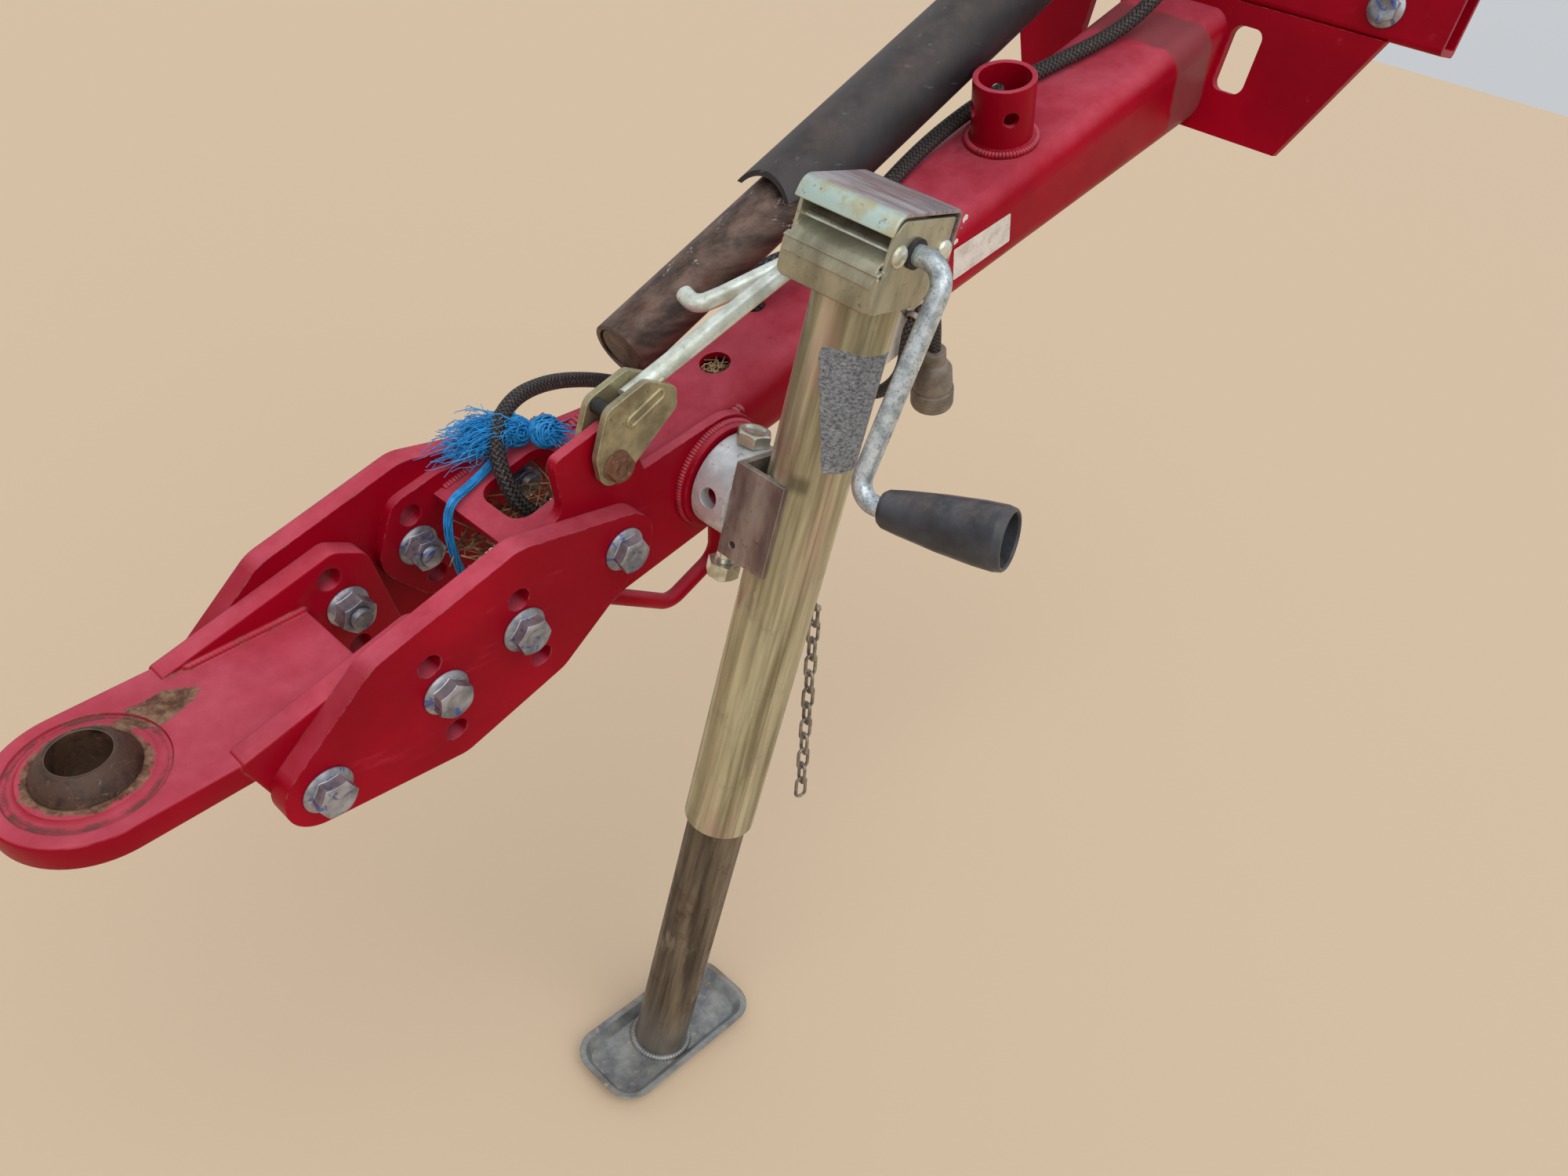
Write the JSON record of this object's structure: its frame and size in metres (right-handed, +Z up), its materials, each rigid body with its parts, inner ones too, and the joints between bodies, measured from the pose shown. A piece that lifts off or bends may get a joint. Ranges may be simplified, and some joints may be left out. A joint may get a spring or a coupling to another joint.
{
  "type": "baler drawbar with hitch eye and parking jack",
  "caption": "Slanted box-section drawbar with a ball hitch eye, a side crank jack, a swing-up driveline rest and a stowed driveline, bolted to a towed machine's frame.",
  "frame": {"origin": "centre of the crossmember's rear face, midway between its two frame bolts", "axes": "+X forward to the hitch, +Y to the machine's left, where the jack is, +Z up"},
  "size_m": [1.2359, 0.5728, 1.1625],
  "materials": {
    "paint": "satin crimson paint, dusty",
    "zinc": "olive passivated zinc plate",
    "galvanised": "dull galvanised pipe",
    "bright_zinc": "blotchy bright zinc",
    "foot_steel": "worn blue-grey",
    "eye_steel": "crimson paint worn to rusty steel",
    "ball_steel": "rusty, greased",
    "rust": "rusty steel",
    "slate_plastic": "weathered dark shield plastic",
    "drive_steel": "brown worn steel tube",
    "black_plastic": "moulded grip",
    "braid": "braided sleeve",
    "lead_rubber": "smooth black sheath",
    "plug_grey": "grey moulded plug",
    "twine_blue": "plastic twine"
  },
  "bodies": {
    "drawbar": {"crossmember": "paint", "frame_bolts": "zinc", "rear_panel": "paint", "beam": "paint", "storage_post": "paint", "left_cheek": "paint", "right_cheek": "paint", "front_plate": "paint", "left_strap": "paint", "right_strap": "paint", "strap_bolts": "zinc", "strap_nuts": "zinc", "tow_eye": "eye_steel", "eye_ball": "ball_steel", "safety_loop": "paint", "jack_stub": "paint", "pivot_bolt": "rust", "driveline_shield": "slate_plastic", "harness_gland": "black_plastic", "harness": "braid", "front_lead": "lead_rubber", "lead_clip": "zinc", "lead_plug": "plug_grey", "twine_knot": "twine_blue", "twine_tail": "twine_blue"},
    "jack": {"jack_sleeve": "galvanised", "jack_channel": "galvanised", "lock_bolt": "zinc", "lock_nut": "zinc", "outer_tube": "galvanised", "jack_head": "galvanised", "head_pins": "bright_zinc", "crank_bush": "bright_zinc", "chain": "zinc"},
    "crank": {"crank": "bright_zinc"},
    "grip": {"crank_grip": "black_plastic"},
    "leg": {"inner_tube": "galvanised", "foot_pan": "foot_steel"},
    "driveline_rest": {"link_plates": "zinc", "rest_stop": "black_plastic", "rest_rod": "zinc"},
    "driveline_shaft": {"driveline_tube": "drive_steel", "driveline_yoke": "drive_steel"}
  },
  "joints": [
    {"name": "jack_swivel", "type": "hinge", "parent": "drawbar", "child": "jack", "pos_m": [0.71, 0.082, -0.407], "axis": [0, 1, 0], "range_deg": [0, 90]},
    {"name": "crank_turn", "type": "hinge", "parent": "jack", "child": "crank", "pos_m": [0.719, 0.18, -0.19], "axis": [0, 1, 0], "range_deg": [-5390, 17390]},
    {"name": "leg_slide", "type": "slide", "parent": "jack", "child": "leg", "axis": [0, 0, 1], "range_m": [-0.09, 0.29]},
    {"name": "grip_spin", "type": "hinge", "parent": "crank", "child": "grip", "pos_m": [0.74813, 0.22373, -0.3398], "axis": [-0.1802, 0.9641, 0.1952], "continuous": true},
    {"name": "driveline_rest_pivot", "type": "hinge", "parent": "drawbar", "child": "driveline_rest", "pos_m": [0.82979, 0.052, -0.36918], "axis": [0, 1, 0], "range_deg": [0, 38]},
    {"name": "driveline_spin", "type": "hinge", "parent": "drawbar", "child": "driveline_shaft", "pos_m": [0.07009, -0.074, 0.07423], "axis": [0.8327, 0.02, -0.5533], "continuous": true}
  ],
  "couplings": [
    {"joint": "leg_slide", "follows": "crank_turn", "m_per_rad": 0.00095493}
  ]
}
